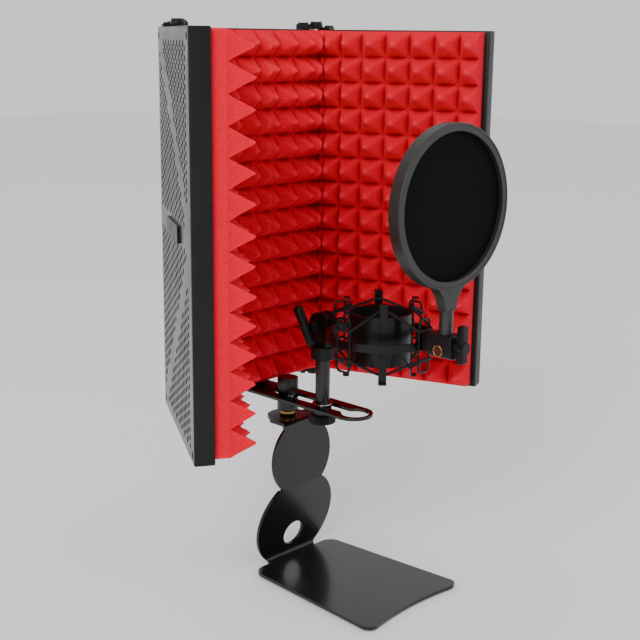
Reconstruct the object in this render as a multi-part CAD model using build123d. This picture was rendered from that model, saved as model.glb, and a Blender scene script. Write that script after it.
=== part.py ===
from build123d import *
import math
import os

os.makedirs("parts", exist_ok=True)

# ---------------------------------------------------------------------------
# Microphone isolation shield on a folded desk stand.
# Millimetres, +Z up, +Y towards the shield, the singer stands at -Y.
# Origin: middle of the underside of the base pad.
# ---------------------------------------------------------------------------

# ---- folded stand ----
PAD_T = 2.0
SHEET = 3.0
BASE_FRONT_W = 132.0
BASE_REAR_W = 110.0
BASE_FRONT_Y = -82.0
BASE_FRONT_HOLLOW = 7.0
BASE_REAR_Y = 80.0
BASE_CORNER_R = 9.0
BASE_SHOULDER_R = 12.0
PAD_INSET = 4.0
BEND_Y = 85.0
BEND_HALF_W = 31.0
BEND_R = 3.5
LEAN_DEG = 12.5
LOWER_LEN = 81.0
LOWER_DISC_R = 51.0
LOWER_DISC_S = 40.0
STEM_HALF_W = 27.0
LOWER_HOLE_R = 13.0
LOWER_HOLE_S = 23.5
UPPER_LEN = 67.3
UPPER_DISC_R = 40.0
UPPER_DISC_S = 29.3
TOP_DISC_R = 20.0
TOP_DISC_REACH = 21.0

# ---- threaded coupling between stand and bar ----
BOLT_AF = 17.0
BOLT_HEAD_T = 4.0
BOLT_R = 4.0
STUD_R = 7.94
STUD_SHOW = 5.0
STUD_LEN = 15.0
STUD_CAP = 2.5
SOCKET_CLEAR = 0.2
COUPLER_R = 10.5
COUPLER_H = 14.0
COUPLER_CHAMFER = 1.5
ROD_SINK = 3.0
ROD_SHORT = 2.4
GUIDE_SHORT = 0.1
RUN_FIT = 0.05
FACE_GAP = 0.03
ROD_R = 4.76
HAND_NUT_R = 10.25
HAND_NUT_H = 16.0
NUT_CHAMFER = 0.8
WASHER_INSET = 0.5
WASHER_T = 1.0

# ---- slotted bar ----
BAR_W = 38.0
BAR_T = 3.0
BAR_FRONT_Y = -17.0
BAR_REAR_Y = 156.0
SLOT_W = 14.0
SLOT_REAR_Y = 104.0
KEYHOLE_R = 13.0
KEYHOLE_Y = -0.5
BAR_SCREW_X = 11.0
BAR_SCREW_Y = 148.0
BAR_SCREW_R = 2.0
BAR_SCREW_HEAD_T = 2.4
BAR_SCREW_ROUND = 1.2
BAR_SCREW_TAIL = 0.4
BAR_NUT_AF = 7.0
BAR_NUT_T = 3.2

# ---- shield panels ----
HINGE_Y = 140.0
PANEL_W = 180.0
PANEL_H = 350.0
TRAY_DEPTH = 18.0
TRAY_T = 1.2
TRAY_LIP = 8.0
HINGE_GAP = 0.6
LEFT_FOLD = 58.0
RIGHT_FOLD = 71.0
WING_FOLD_MAX = 75.0
BACKING_GAP = 0.3
BACKING_END = 6.0
BADGE_L = 62.0
BADGE_H = 15.0
BADGE_T = 2.5
BADGE_V = 0.52
BADGE_CORNER_R = 2.0

# ---- absorber foam ----
FOAM_REACH = 36.8
FOAM_GAP = 0.3
FOAM_END = 5.0
FOAM_LOW = 3.2
FOAM_TOP = 1.2
FOAM_CORNER_R = 10.0
FOAM_MITRE_GAP = 1.0

# ---- wing hinges ----
LEAF_T = 2.5
LEAF_GAP = 0.1
LEAF_RELIEF = 0.2
LEAF_END_R = 6.5
LEAF_LEN = 13.5
LEAF_W = 14.0
LEAF_IN = 1.0
LEAF_FOOT_U = 8.0
PIN_R = 3.0
PIN_KNOB_R = 6.0
PIN_KNOB_T = 2.5
PIN_KNOB_ROUND = 0.9
LEAF_SCREW_R = 1.5
LEAF_SCREW_HEAD_R = 2.8
LEAF_SCREW_HEAD_T = 1.6
LEAF_SCREW_ROUND = 0.8
LEAF_SCREW_TAIL = 2.5
LEAF_SCREW_U = 10.6
LEAF_SCREW_D = (4.5, 11.5)

# ---- microphone post ----
POST_Y = 41.4
POST_R = 7.0
POST_H = 52.5
STUD8_R = 4.0
STUD8_UP = 18.0
SLEEVE_R = 9.0
SLEEVE_H = 7.5
POST_NUT_R = 13.0
POST_NUT_H = 8.2
POST_WASHER_R = 10.0
COLLAR_R = 11.5
COLLAR_H = 13.0
COLLAR_GRIP = 8.0
FORK_W = 13.5
FORK_R = 12.5
FORK_SHOULDER = 3.0
FORK_BASE_H = 8.3
TONGUE_W = 7.1
PIVOT_UP = 20.5
PIVOT_R = 3.0
PIVOT_HEAD_R = 5.5
PIVOT_HEAD_T = 3.5
LEVER_HUB_R = 5.0
LEVER_HUB_X = 19.0
LEVER_CAP = 6.0
LEVER_R = 4.5
LEVER_TOP = (-25.5, 8.0, 17.0)
LEVER_FOOT = (-18.5, -1.0, -13.0)

# ---- shock mount ----
RING_GAP = 20.9
RING_UP = 2.02
RING_R = 50.0
RING_T = 2.0
RING_H = 7.4
ARM_INSET = 0.6
LOOP_W = 16.0
LOOP_H = 50.0
LOOP_WIRE_R = 1.0
LOOP_BEND_R = 3.0
CRADLE_R = 28.0
CRADLE_T = 1.5
CRADLE_BELOW = 23.0
CRADLE_H = 45.4
LINING_T = 1.2
LINING_GAP = 0.3
STRIP_W = 7.3
STRIP_T = 1.5
STRIP_BELOW = 14.5
STRIP_ABOVE = 13.6
STRIP_HOOK = 4.0
RIVET_R = 1.5
RIVET_HEAD_R = 2.4
RIVET_HEAD_T = 1.0
RIVET_ROUND = 0.6
RIVET_INSET = 9.0
CORD_R = 1.25
CORD_CLEAR = 0.06
CORD_ABOVE_CRADLE = 5.6
CORD_ABOVE_RING = 14.0
CORD_BELOW_CRADLE = 6.0
CORD_BELOW_RING = 12.0

# ---- filter clamp ----
CLAMP_W = 18.0
CLAMP_GAP = 8.5
CLAMP_L = 27.0
CLAMP_DROP = 6.0
CLAMP_H = 21.0
CLAMP_TOP_R = 1.5
CLAMP_LOW_R = 6.5
CLAMP_END_R = 1.2
JAW_W = 10.0
JAW_LIMB_T = 2.8
JAW_LIMB_UP = 4.0
JAW_LIP_T = 3.2
JAW_FIT = 0.04
PAD_W = 8.0
PAD_OVER = 0.5
PAD_FIT = 0.02
SCREW_UP = 11.6
SCREW_R = 3.0
SCREW_SINK = 5.0
HUB_R = 5.5
HUB_L = 9.0
HUB_GAP = 1.5
HANDLE_L = 33.3
HANDLE_W = 8.6
HANDLE_D = 7.0
HANDLE_ROUND = 1.5
HANDLE_SHIFT = 2.6
INSERT_R = 5.0
INSERT_IN = 14.0
INSERT_UP = 7.2
INSERT_DEEP = 4.0
INSERT_PROUD = 0.8

# ---- pop filter ----
FILTER_BACK = 15.0
FILTER_UP = 110.0
FILTER_TURN = 3.0
FILTER_R = 70.5
FILTER_DEPTH = 12.0
HOOP_T = 2.1
HOOP_ROUND = 0.8
FACE_RING_W = 7.0
FACE_RING_T = 4.3
MESH_T = 0.4
MESH_APART = 2.0
MESH_FIT = 0.2
SPACER_INSET = 0.5
NECK_TOP_W = 35.0
NECK_LOW_W = 13.0
NECK_LOW_UP = 21.0
NECK_BULGE = 3.2
NECK_OVERLAP = 8.0
NECK_T = 10.0
FILTER_POST_R = 6.0
SPIGOT_R = 4.0
SPIGOT_L = 5.5

# ---- heights that follow from the sizes above ----
BASE_TOP = PAD_T + SHEET
LEAN = math.radians(LEAN_DEG)
WAIST_Y = BEND_Y - LOWER_LEN * math.sin(LEAN)
WAIST_Z = BASE_TOP + LOWER_LEN * math.cos(LEAN)
DISC_TOP = WAIST_Z + UPPER_LEN
PIVOT_Y = WAIST_Y + TOP_DISC_REACH
BAR_BOTTOM = DISC_TOP + STUD_SHOW + COUPLER_H
BAR_TOP = BAR_BOTTOM + BAR_T
SHIELD_TOP = BAR_TOP + PANEL_H
POST_FOOT = BAR_TOP + WASHER_T
COLLAR_Z = BAR_TOP + POST_H - COLLAR_GRIP
COLLAR_TOP = COLLAR_Z + COLLAR_H
TILT_Z = COLLAR_TOP + PIVOT_UP
RING_Y = POST_Y - RING_R - RING_GAP
RING_Z = TILT_Z + RING_UP
CRADLE_Z = RING_Z - CRADLE_BELOW
CRADLE_TOP = CRADLE_Z + CRADLE_H
CLAMP_REAR_Y = RING_Y - RING_R - CLAMP_GAP
CLAMP_FRONT_Y = CLAMP_REAR_Y - CLAMP_L
CLAMP_Z = RING_Z - CLAMP_DROP
CLAMP_TOP = CLAMP_Z + CLAMP_H
SCREW_Z = CLAMP_Z + SCREW_UP
FILTER_Y = CLAMP_REAR_Y - FILTER_BACK
FILTER_Z = CLAMP_TOP + FILTER_UP


def rod(radius, z_low, z_high, x=0, y=0):
    """Upright cylinder between two heights."""
    return Pos(x, y, z_low) * extrude(Circle(radius), z_high - z_low)


def tube(outer, inner, z_low, z_high, x=0, y=0):
    """Upright tube between two heights."""
    return Pos(x, y, z_low) * extrude(Circle(outer) - Circle(inner), z_high - z_low)


def block(x0, x1, y0, y1, z0, z1):
    """Box given by its six faces."""
    return Pos((x0 + x1) / 2, (y0 + y1) / 2, (z0 + z1) / 2) * Box(x1 - x0, y1 - y0, z1 - z0)


def along(axis, radius, low, high, x=0, y=0, z=0):
    """Cylinder along X or Y between two stations."""
    if axis == "x":
        return Pos(low, y, z) * Rot(0, 90, 0) * extrude(Circle(radius), high - low)
    return Pos(x, low, z) * Rot(-90, 0, 0) * extrude(Circle(radius), high - low)


def save(shapes, name):
    """Write one node; several separate solids share a file as a group."""
    solids = []
    for shape in shapes if isinstance(shapes, (list, tuple)) else [shapes]:
        solids += list(shape.solids())
    node = solids[0] if len(solids) == 1 else Compound(children=solids)
    export_step(node, f"parts/{name}.step")


# ---------------------------------------------------------------------------
# Stand: one folded sheet, cut to shape, on a rubber pad
# ---------------------------------------------------------------------------
def base_outline(inset):
    """Plan of the base plate: wide concave front, rounded shoulders, narrow notch at the bend."""
    front = BASE_FRONT_Y + inset
    rear = BASE_REAR_Y - inset
    half_front = BASE_FRONT_W / 2 - inset
    half_rear = BASE_REAR_W / 2 - inset
    edge = Polyline((-half_front, front), (-half_rear, rear), (half_rear, rear), (half_front, front))
    hollow = ThreePointArc((half_front, front), (0, front + BASE_FRONT_HOLLOW), (-half_front, front))
    plan = make_face([*edge.edges(), hollow])
    front_corners = plan.vertices().sort_by(Axis.Y)[:2]
    plan = fillet(front_corners, BASE_CORNER_R - inset / 2)
    rear_corners = plan.vertices().sort_by(Axis.Y)[-2:]
    return fillet(rear_corners, BASE_SHOULDER_R)


def stand_frame():
    waist = (WAIST_Y, WAIST_Z)
    reach = PIVOT_Y + TOP_DISC_R + 5
    face_line = FilletPolyline(
        (BASE_FRONT_Y - 5, BASE_TOP), (BEND_Y, BASE_TOP), waist, (WAIST_Y, DISC_TOP), (reach, DISC_TOP),
        radius=BEND_R,
    )
    band = offset(face_line, amount=SHEET, side=Side.RIGHT, closed=True)
    ribbon = extrude(Plane.YZ * make_face(band.edges()), BASE_FRONT_W, both=True)

    plan = Pos(0, 0, -1) * extrude(base_outline(0), BASE_TOP + 1)
    tab = block(-BEND_HALF_W, BEND_HALF_W, BEND_Y - 12, BEND_Y + 12, -1, BASE_TOP)
    lower_plane = Plane((0, BEND_Y, BASE_TOP), x_dir=(1, 0, 0), z_dir=(0, -math.cos(LEAN), -math.sin(LEAN)))
    lower_disc = lower_plane * Pos(0, LOWER_DISC_S, 0) * extrude(Circle(LOWER_DISC_R), 15, both=True)
    lower_zone = block(-BASE_FRONT_W, BASE_FRONT_W, WAIST_Y - 12, BEND_Y + 12, BASE_TOP, WAIST_Z)
    stem = block(-STEM_HALF_W, STEM_HALF_W, WAIST_Y - 12, BEND_Y + 12, BASE_TOP, WAIST_Z)
    hole = lower_plane * Pos(0, LOWER_HOLE_S, 0) * extrude(Circle(LOWER_HOLE_R), 15, both=True)
    upper_disc = along("y", UPPER_DISC_R, WAIST_Y - 12, WAIST_Y + 12, z=WAIST_Z + UPPER_DISC_S)
    neck_top = DISC_TOP - SHEET - BEND_R
    upper_zone = block(-BASE_FRONT_W, BASE_FRONT_W, WAIST_Y - 12, WAIST_Y + 12, WAIST_Z, neck_top)
    neck_half = math.sqrt(UPPER_DISC_R ** 2 - (neck_top - WAIST_Z - UPPER_DISC_S) ** 2)
    top_tab = block(-neck_half, neck_half, WAIST_Y - 2, PIVOT_Y, neck_top, DISC_TOP + 1)
    top_disc = rod(TOP_DISC_R, neck_top, DISC_TOP + 1, y=PIVOT_Y)
    cutter = plan + tab + stem + (lower_disc & lower_zone) + (upper_disc & upper_zone) + top_tab + top_disc
    sheet = (ribbon & cutter) - hole
    return sheet - rod(BOLT_R, DISC_TOP - 2 * SHEET, DISC_TOP + 1, y=PIVOT_Y)


save(stand_frame(), "stand_frame")
save(extrude(base_outline(PAD_INSET), PAD_T), "base_pad")

hex_head = Pos(0, PIVOT_Y, DISC_TOP - SHEET - BOLT_HEAD_T) * extrude(
    RegularPolygon(BOLT_AF / 2, 6, major_radius=False), BOLT_HEAD_T)
bolt_top = DISC_TOP + STUD_LEN - STUD_CAP
save(hex_head + rod(BOLT_R, DISC_TOP - SHEET, bolt_top, y=PIVOT_Y), "stud_bolt")
stud = rod(STUD_R, DISC_TOP, DISC_TOP + STUD_LEN, y=PIVOT_Y)
save(stud - rod(BOLT_R, DISC_TOP, bolt_top, y=PIVOT_Y), "brass_stud")

# ---------------------------------------------------------------------------
# Coupling: turns on the stud, its shouldered rod guides the slotted bar
# ---------------------------------------------------------------------------
coupler_low = DISC_TOP + STUD_SHOW
coupler_top = BAR_BOTTOM - FACE_GAP
socket_top = DISC_TOP + STUD_LEN + SOCKET_CLEAR
coupler = rod(COUPLER_R, coupler_low, coupler_top, y=PIVOT_Y)
coupler = chamfer(coupler.edges().sort_by(Axis.Z)[0], COUPLER_CHAMFER)
coupler -= rod(STUD_R + RUN_FIT, coupler_low - 1, socket_top, y=PIVOT_Y)
save(coupler - rod(ROD_R, coupler_top - ROD_SINK, coupler_top, y=PIVOT_Y), "coupling_lower")

rod_top = BAR_TOP + WASHER_T + HAND_NUT_H - ROD_SHORT
guide = rod(SLOT_W / 2 - RUN_FIT, coupler_top, BAR_TOP - GUIDE_SHORT, y=PIVOT_Y)
save(guide + rod(ROD_R, coupler_top - ROD_SINK, rod_top, y=PIVOT_Y), "coupling_rod")
washer_low = BAR_TOP + FACE_GAP
nut_low = BAR_TOP + WASHER_T
save(tube(HAND_NUT_R - WASHER_INSET, ROD_R, washer_low, nut_low - FACE_GAP, y=PIVOT_Y), "coupling_washer")
hand_nut = rod(HAND_NUT_R, nut_low, nut_low + HAND_NUT_H, y=PIVOT_Y)
hand_nut = chamfer(hand_nut.edges().filter_by(GeomType.CIRCLE), NUT_CHAMFER)
save(hand_nut - rod(ROD_R + RUN_FIT, nut_low - 1, rod_top + SOCKET_CLEAR, y=PIVOT_Y), "coupling_nut")

# ---------------------------------------------------------------------------
# Slotted bar, bolted under the middle tray
# ---------------------------------------------------------------------------
bar = block(-BAR_W / 2, BAR_W / 2, BAR_FRONT_Y + BAR_W / 2, BAR_REAR_Y, BAR_BOTTOM, BAR_TOP)
bar += rod(BAR_W / 2, BAR_BOTTOM, BAR_TOP, y=BAR_FRONT_Y + BAR_W / 2)
slot_end = SLOT_REAR_Y - SLOT_W / 2
bar -= block(-SLOT_W / 2, SLOT_W / 2, KEYHOLE_Y, slot_end, BAR_BOTTOM - 1, BAR_TOP + 1)
bar -= rod(SLOT_W / 2, BAR_BOTTOM - 1, BAR_TOP + 1, y=slot_end)
bar -= rod(KEYHOLE_R, BAR_BOTTOM - 1, BAR_TOP + 1, y=KEYHOLE_Y)

tray_floor = BAR_TOP + TRAY_T
bar_screws = []
bar_nuts = []
bar_bores = []
for side in (-1, 1):
    x = side * BAR_SCREW_X
    head = rod(2 * BAR_SCREW_R, BAR_BOTTOM - BAR_SCREW_HEAD_T, BAR_BOTTOM, x, BAR_SCREW_Y)
    head = fillet(head.edges().sort_by(Axis.Z)[0], BAR_SCREW_ROUND)
    screw_top = tray_floor + BAR_NUT_T + BAR_SCREW_TAIL
    bar_screws.append(head + rod(BAR_SCREW_R, BAR_BOTTOM, screw_top, x, BAR_SCREW_Y))
    hexagon = RegularPolygon(BAR_NUT_AF / 2, 6, major_radius=False)
    nut = Pos(x, BAR_SCREW_Y, tray_floor) * extrude(hexagon, BAR_NUT_T)
    bar_nuts.append(nut - rod(BAR_SCREW_R, tray_floor, screw_top, x, BAR_SCREW_Y))
    bar_bores.append(rod(BAR_SCREW_R, BAR_BOTTOM - 1, tray_floor + 1, x, BAR_SCREW_Y))
for bore in bar_bores:
    bar -= bore
save(bar, "slotted_bar")
save(bar_screws, "bar_screws")
save(bar_nuts, "bar_nuts")


# ---------------------------------------------------------------------------
# Shield panels.  Drawn with the hinge line at the origin: +X runs along the
# panel, +Y is its outer side; then folded and moved into place.
# ---------------------------------------------------------------------------
def tray(u0, u1):
    """Folded tray: outer face, four flanges and a return lip round the open side."""
    shell = block(u0, u1, 0, TRAY_DEPTH, BAR_TOP, SHIELD_TOP)
    hollow_low = BAR_TOP + TRAY_T
    hollow_high = SHIELD_TOP - TRAY_T
    hollow = block(u0 + TRAY_T, u1 - TRAY_T, TRAY_T, TRAY_DEPTH - TRAY_T, hollow_low, hollow_high)
    window = block(u0 + TRAY_LIP, u1 - TRAY_LIP, -1, TRAY_T, BAR_TOP + TRAY_LIP, SHIELD_TOP - TRAY_LIP)
    return shell - hollow - window


def backing(u0, u1):
    """Fleece board filling the tray."""
    side = TRAY_T + BACKING_GAP
    low = BAR_TOP + BACKING_END
    high = SHIELD_TOP - BACKING_END
    return block(u0 + side, u1 - side, side, TRAY_DEPTH - side, low, high)


def badge(u_mid):
    """Blank raised plate in the middle of the outer face."""
    z_mid = BAR_TOP + BADGE_V * PANEL_H
    half_l = BADGE_L / 2
    half_h = BADGE_H / 2
    plate = Box(2 * half_l, BADGE_T, 2 * half_h)
    plate = Pos(u_mid, TRAY_DEPTH + BADGE_T / 2, z_mid) * plate
    return fillet(plate.edges().filter_by(Axis.Y), BADGE_CORNER_R)


def foam_wing():
    """Plain block of wedge foam, mitred so that the wing can fold to its limit."""
    mitre = math.tan(math.radians(WING_FOLD_MAX / 2))
    near = FOAM_MITRE_GAP + FOAM_GAP * mitre
    far = FOAM_MITRE_GAP + FOAM_REACH * mitre
    end = PANEL_W - FOAM_END
    plan = Polyline((near, -FOAM_GAP), (far, -FOAM_REACH), (end, -FOAM_REACH), (end, -FOAM_GAP), close=True)
    low = BAR_TOP + FOAM_LOW
    high = SHIELD_TOP - FOAM_TOP
    slab = Pos(0, 0, low) * extrude(make_face(plan), high - low)
    outer_edges = slab.edges().filter_by(Axis.Y).sort_by(Axis.X)[-2:]
    return fillet(outer_edges, FOAM_CORNER_R)


def foam_middle():
    mitre = math.tan(math.radians(WING_FOLD_MAX / 2))
    near = PANEL_W / 2 - FOAM_MITRE_GAP - FOAM_GAP * mitre
    far = PANEL_W / 2 - FOAM_MITRE_GAP - FOAM_REACH * mitre
    corners = [(-near, -FOAM_GAP), (-far, -FOAM_REACH), (far, -FOAM_REACH), (near, -FOAM_GAP)]
    plan = Polyline(*corners, close=True)
    low = BAR_TOP + FOAM_LOW
    high = SHIELD_TOP - FOAM_TOP
    return Pos(0, HINGE_Y, low) * extrude(make_face(plan), high - low)


def leaf_plan(direction, start):
    """Outline of a hinge leaf beyond its round end."""
    u0 = direction * start
    u1 = direction * LEAF_LEN
    return Pos((u0 + u1) / 2, LEAF_IN + LEAF_W / 2) * Rectangle(abs(u1 - u0), LEAF_W)


def ends(shape):
    """The same hardware on the top flange and, turned over, under the bottom flange."""
    middle = (BAR_TOP + SHIELD_TOP) / 2
    return [shape, mirror(shape, Plane.XY.offset(middle))]


def wing_leaf():
    arm = leaf_plan(1, HINGE_GAP) + Pos(LEAF_LEN / 4, 0) * Rectangle(LEAF_LEN / 2 - 2, 2 * LEAF_IN)
    plate = Pos(0, 0, SHIELD_TOP) * extrude(arm, LEAF_T)
    plate += rod(LEAF_END_R, SHIELD_TOP + LEAF_RELIEF, SHIELD_TOP + LEAF_T)
    return plate - rod(PIN_R, SHIELD_TOP - 1, SHIELD_TOP + LEAF_T + 1) - leaf_bores(1)


def middle_leaf():
    low = SHIELD_TOP + LEAF_T + LEAF_GAP
    arm = leaf_plan(-1, HINGE_GAP) + Pos(-LEAF_LEN / 4, 0) * Rectangle(LEAF_LEN / 2 - 2, 2 * LEAF_IN)
    plate = Pos(0, 0, low) * extrude(arm, LEAF_T)
    plate += rod(LEAF_END_R, low, low + LEAF_T)
    plate += Pos(0, 0, SHIELD_TOP) * extrude(leaf_plan(-1, LEAF_FOOT_U), LEAF_T + LEAF_GAP)
    return plate - rod(PIN_R + RUN_FIT, low - 1, low + LEAF_T + 1) - leaf_bores(-1)


def leaf_bores(direction):
    return [
        rod(LEAF_SCREW_R, SHIELD_TOP - 2 * TRAY_T, SHIELD_TOP + 3 * LEAF_T, direction * LEAF_SCREW_U, d)
        for d in LEAF_SCREW_D
    ]


def leaf_screws(direction, top):
    screws = []
    for d in LEAF_SCREW_D:
        head = rod(LEAF_SCREW_HEAD_R, top, top + LEAF_SCREW_HEAD_T, direction * LEAF_SCREW_U, d)
        head = fillet(head.edges().sort_by(Axis.Z)[-1], LEAF_SCREW_ROUND)
        shank = rod(LEAF_SCREW_R, SHIELD_TOP - TRAY_T - LEAF_SCREW_TAIL, top, direction * LEAF_SCREW_U, d)
        screws.append(head + shank)
    return screws


def hinge_pin():
    """Pin fast in the wing leaf, turning in the middle leaf, with a round knob on top."""
    top = SHIELD_TOP + 2 * LEAF_T + LEAF_GAP + FACE_GAP
    pin = rod(PIN_R, SHIELD_TOP + LEAF_RELIEF, top)
    knob = rod(PIN_KNOB_R, top, top + PIN_KNOB_T)
    return pin + fillet(knob.edges().sort_by(Axis.Z)[-1], PIN_KNOB_ROUND)


def both_ends(shapes):
    found = []
    for shape in shapes:
        found += ends(shape)
    return found


def cut_all(shape, tools):
    for tool in tools:
        shape -= tool
    return shape


def place_wing(shape, side):
    """Fold a part drawn on the right-hand hinge and move it to the left or right wing."""
    if side == "left":
        return Pos(-PANEL_W / 2, HINGE_Y, 0) * Rot(0, 0, LEFT_FOLD) * mirror(shape, Plane.YZ)
    return Pos(PANEL_W / 2, HINGE_Y, 0) * Rot(0, 0, -RIGHT_FOLD) * shape


def place_middle(shape):
    """The middle panel carries the same hardware at both of its hinges."""
    right = Pos(PANEL_W / 2, HINGE_Y, 0) * shape
    return [right, mirror(right, Plane.YZ)]


half = PANEL_W / 2 - HINGE_GAP
middle_tray = Pos(0, HINGE_Y, 0) * tray(-half, half)
middle_bores = []
for bore in both_ends(leaf_bores(-1)):
    middle_bores += place_middle(bore)
save(cut_all(middle_tray, middle_bores + bar_bores), "tray_middle")
save(Pos(0, HINGE_Y, 0) * backing(-half, half), "backing_middle")
save(Pos(0, HINGE_Y, 0) * badge(0), "badge_middle")
save(foam_middle(), "foam_middle")
leaves = []
for leaf in ends(middle_leaf()):
    leaves += place_middle(leaf)
save(leaves, "hinge_leaves_middle")
screws = []
for screw in both_ends(leaf_screws(-1, SHIELD_TOP + 2 * LEAF_T + LEAF_GAP)):
    screws += place_middle(screw)
save(screws, "hinge_screws_middle")

wing_tray = cut_all(tray(HINGE_GAP, PANEL_W), both_ends(leaf_bores(1)))
for side in ("left", "right"):
    save(place_wing(wing_tray, side), f"tray_{side}")
    save(place_wing(backing(HINGE_GAP, PANEL_W), side), f"backing_{side}")
    save(place_wing(badge(PANEL_W / 2), side), f"badge_{side}")
    save(place_wing(foam_wing(), side), f"foam_{side}")
    save([place_wing(leaf, side) for leaf in ends(wing_leaf())], f"hinge_leaves_{side}")
    wing_screws = both_ends(leaf_screws(1, SHIELD_TOP + LEAF_T))
    save([place_wing(screw, side) for screw in wing_screws], f"hinge_screws_{side}")
    save([place_wing(pin, side) for pin in ends(hinge_pin())], f"hinge_pins_{side}")

# ---------------------------------------------------------------------------
# Microphone post, standing in the slot
# ---------------------------------------------------------------------------
nut_top = BAR_BOTTOM - SLEEVE_H - FACE_GAP
stud_top = BAR_TOP + STUD8_UP
save(tube(POST_WASHER_R, STUD8_R + RUN_FIT, washer_low, POST_FOOT - FACE_GAP, y=POST_Y), "post_washer")
bush = tube(SLOT_W / 2 - RUN_FIT, STUD8_R + RUN_FIT, BAR_BOTTOM - FACE_GAP, BAR_TOP + FACE_GAP, y=POST_Y)
sleeve = tube(SLEEVE_R, STUD8_R + RUN_FIT, BAR_BOTTOM - SLEEVE_H, BAR_BOTTOM - FACE_GAP, y=POST_Y)
save(bush, "slot_bush")
save(sleeve, "post_sleeve")
post_nut = rod(POST_NUT_R, nut_top - POST_NUT_H, nut_top, y=POST_Y)
post_nut = chamfer(post_nut.edges().filter_by(GeomType.CIRCLE), NUT_CHAMFER)
save(post_nut - rod(STUD8_R + RUN_FIT, nut_top - 20, nut_top + 1, y=POST_Y), "post_nut")
save(rod(STUD8_R, nut_top - POST_NUT_H, stud_top, y=POST_Y), "post_stud")
post = rod(POST_R, POST_FOOT, BAR_TOP + POST_H, y=POST_Y)
save(post - rod(STUD8_R, POST_FOOT, stud_top, y=POST_Y), "mic_post")

fork = rod(COLLAR_R, COLLAR_Z, COLLAR_TOP, y=POST_Y)
fork = chamfer(fork.edges().filter_by(GeomType.CIRCLE), NUT_CHAMFER)
fork -= rod(POST_R, COLLAR_Z, BAR_TOP + POST_H, y=POST_Y)
cheek_y0 = POST_Y - FORK_R
fork_half = FORK_W / 2
cheek_front = cheek_y0 + FORK_SHOULDER
cheek_rear = POST_Y + FORK_R - FORK_SHOULDER
cheeks = block(-fork_half, fork_half, cheek_front, cheek_rear, COLLAR_TOP, TILT_Z)
cheeks += along("x", FORK_R, -fork_half, fork_half, y=POST_Y, z=TILT_Z)
gap_half = TONGUE_W / 2
cheeks -= block(-gap_half, gap_half, cheek_y0 - 1, POST_Y + FORK_R + 1, COLLAR_TOP + FORK_BASE_H, TILT_Z + 20)
fork += cheeks
save(fork - along("x", PIVOT_R, -20, 20, y=POST_Y, z=TILT_Z), "fork_head")

bolt = along("x", PIVOT_R, -LEVER_HUB_X + LEVER_CAP, fork_half, y=POST_Y, z=TILT_Z)
bolt += along("x", PIVOT_HEAD_R, fork_half, fork_half + PIVOT_HEAD_T, y=POST_Y, z=TILT_Z)
save(bolt, "pivot_bolt")


def capsule(start, finish, radius):
    """Round-ended bar between two points."""
    line = Line(start, finish)
    body = sweep(Plane(start, z_dir=line % 0) * Circle(radius), path=line)
    return body + Pos(*start) * Sphere(radius) + Pos(*finish) * Sphere(radius)


lever = along("x", LEVER_HUB_R, -LEVER_HUB_X, -fork_half - FACE_GAP, y=POST_Y, z=TILT_Z)
lever_ends = [(x, POST_Y + y, TILT_Z + z) for x, y, z in (LEVER_TOP, LEVER_FOOT)]
lever += capsule(*lever_ends, LEVER_R)
lever_bore = along("x", PIVOT_R + RUN_FIT, -LEVER_HUB_X + LEVER_CAP - SOCKET_CLEAR, 0, y=POST_Y, z=TILT_Z)
save(lever - lever_bore, "tilt_lever")

# ---------------------------------------------------------------------------
# Shock mount: arm, outer ring with four wire loops, elastic cords, cradle
# ---------------------------------------------------------------------------
ring_low = RING_Z - RING_H / 2
ring_high = RING_Z + RING_H / 2
ring_rear = RING_Y + RING_R
arm_half = TONGUE_W / 2 - RUN_FIT
arm_side = make_hull(
    (Pos(POST_Y, TILT_Z) * Circle(FORK_R - ARM_INSET)).edges()
    + (Pos(ring_rear, RING_Z) * Rectangle(2, RING_H)).edges()
)
arm = extrude(Plane.YZ * arm_side, arm_half, both=True)
arm -= rod(RING_R, ring_low - 5, ring_high + 5, y=RING_Y)
save(arm - along("x", PIVOT_R + RUN_FIT, -10, 10, y=POST_Y, z=TILT_Z), "ring_arm")


def quarter_turns(shape, start=0):
    """Four copies round the upright axis of the shock mount."""
    return [Pos(0, RING_Y, 0) * Rot(0, 0, start + 90 * k) * shape for k in range(4)]


def wire_loop():
    """Upright rounded rectangle of wire, drawn on the +Y side."""
    half_w = LOOP_W / 2 - LOOP_WIRE_R
    half_h = LOOP_H / 2 - LOOP_WIRE_R
    low = RING_Z - half_h
    high = RING_Z + half_h
    route = FilletPolyline(
        (half_w, RING_R, low), (half_w, RING_R, high), (-half_w, RING_R, high), (-half_w, RING_R, low),
        radius=LOOP_BEND_R, close=True,
    )
    return sweep(Plane(route @ 0, z_dir=route % 0) * Circle(LOOP_WIRE_R), path=route)


loops = quarter_turns(wire_loop())
save(loops, "cord_loops")
ring = tube(RING_R, RING_R - RING_T, ring_low, ring_high, y=RING_Y)
save(cut_all(ring, loops), "outer_ring")

bore_r = CRADLE_R - CRADLE_T
strip_low = CRADLE_Z - STRIP_BELOW
strip_top = CRADLE_TOP + STRIP_ABOVE
rivet_heights = (CRADLE_Z + RIVET_INSET, CRADLE_TOP - RIVET_INSET)


def strip_rivet(z):
    """Rivet through the cradle wall and a strip, drawn on the +Y side."""
    shank = along("y", RIVET_R, bore_r, CRADLE_R + STRIP_T, z=z)
    head = along("y", RIVET_HEAD_R, CRADLE_R + STRIP_T, CRADLE_R + STRIP_T + RIVET_HEAD_T, z=z)
    return shank + fillet(head.edges().sort_by(Axis.Y)[-1], RIVET_ROUND)


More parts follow.
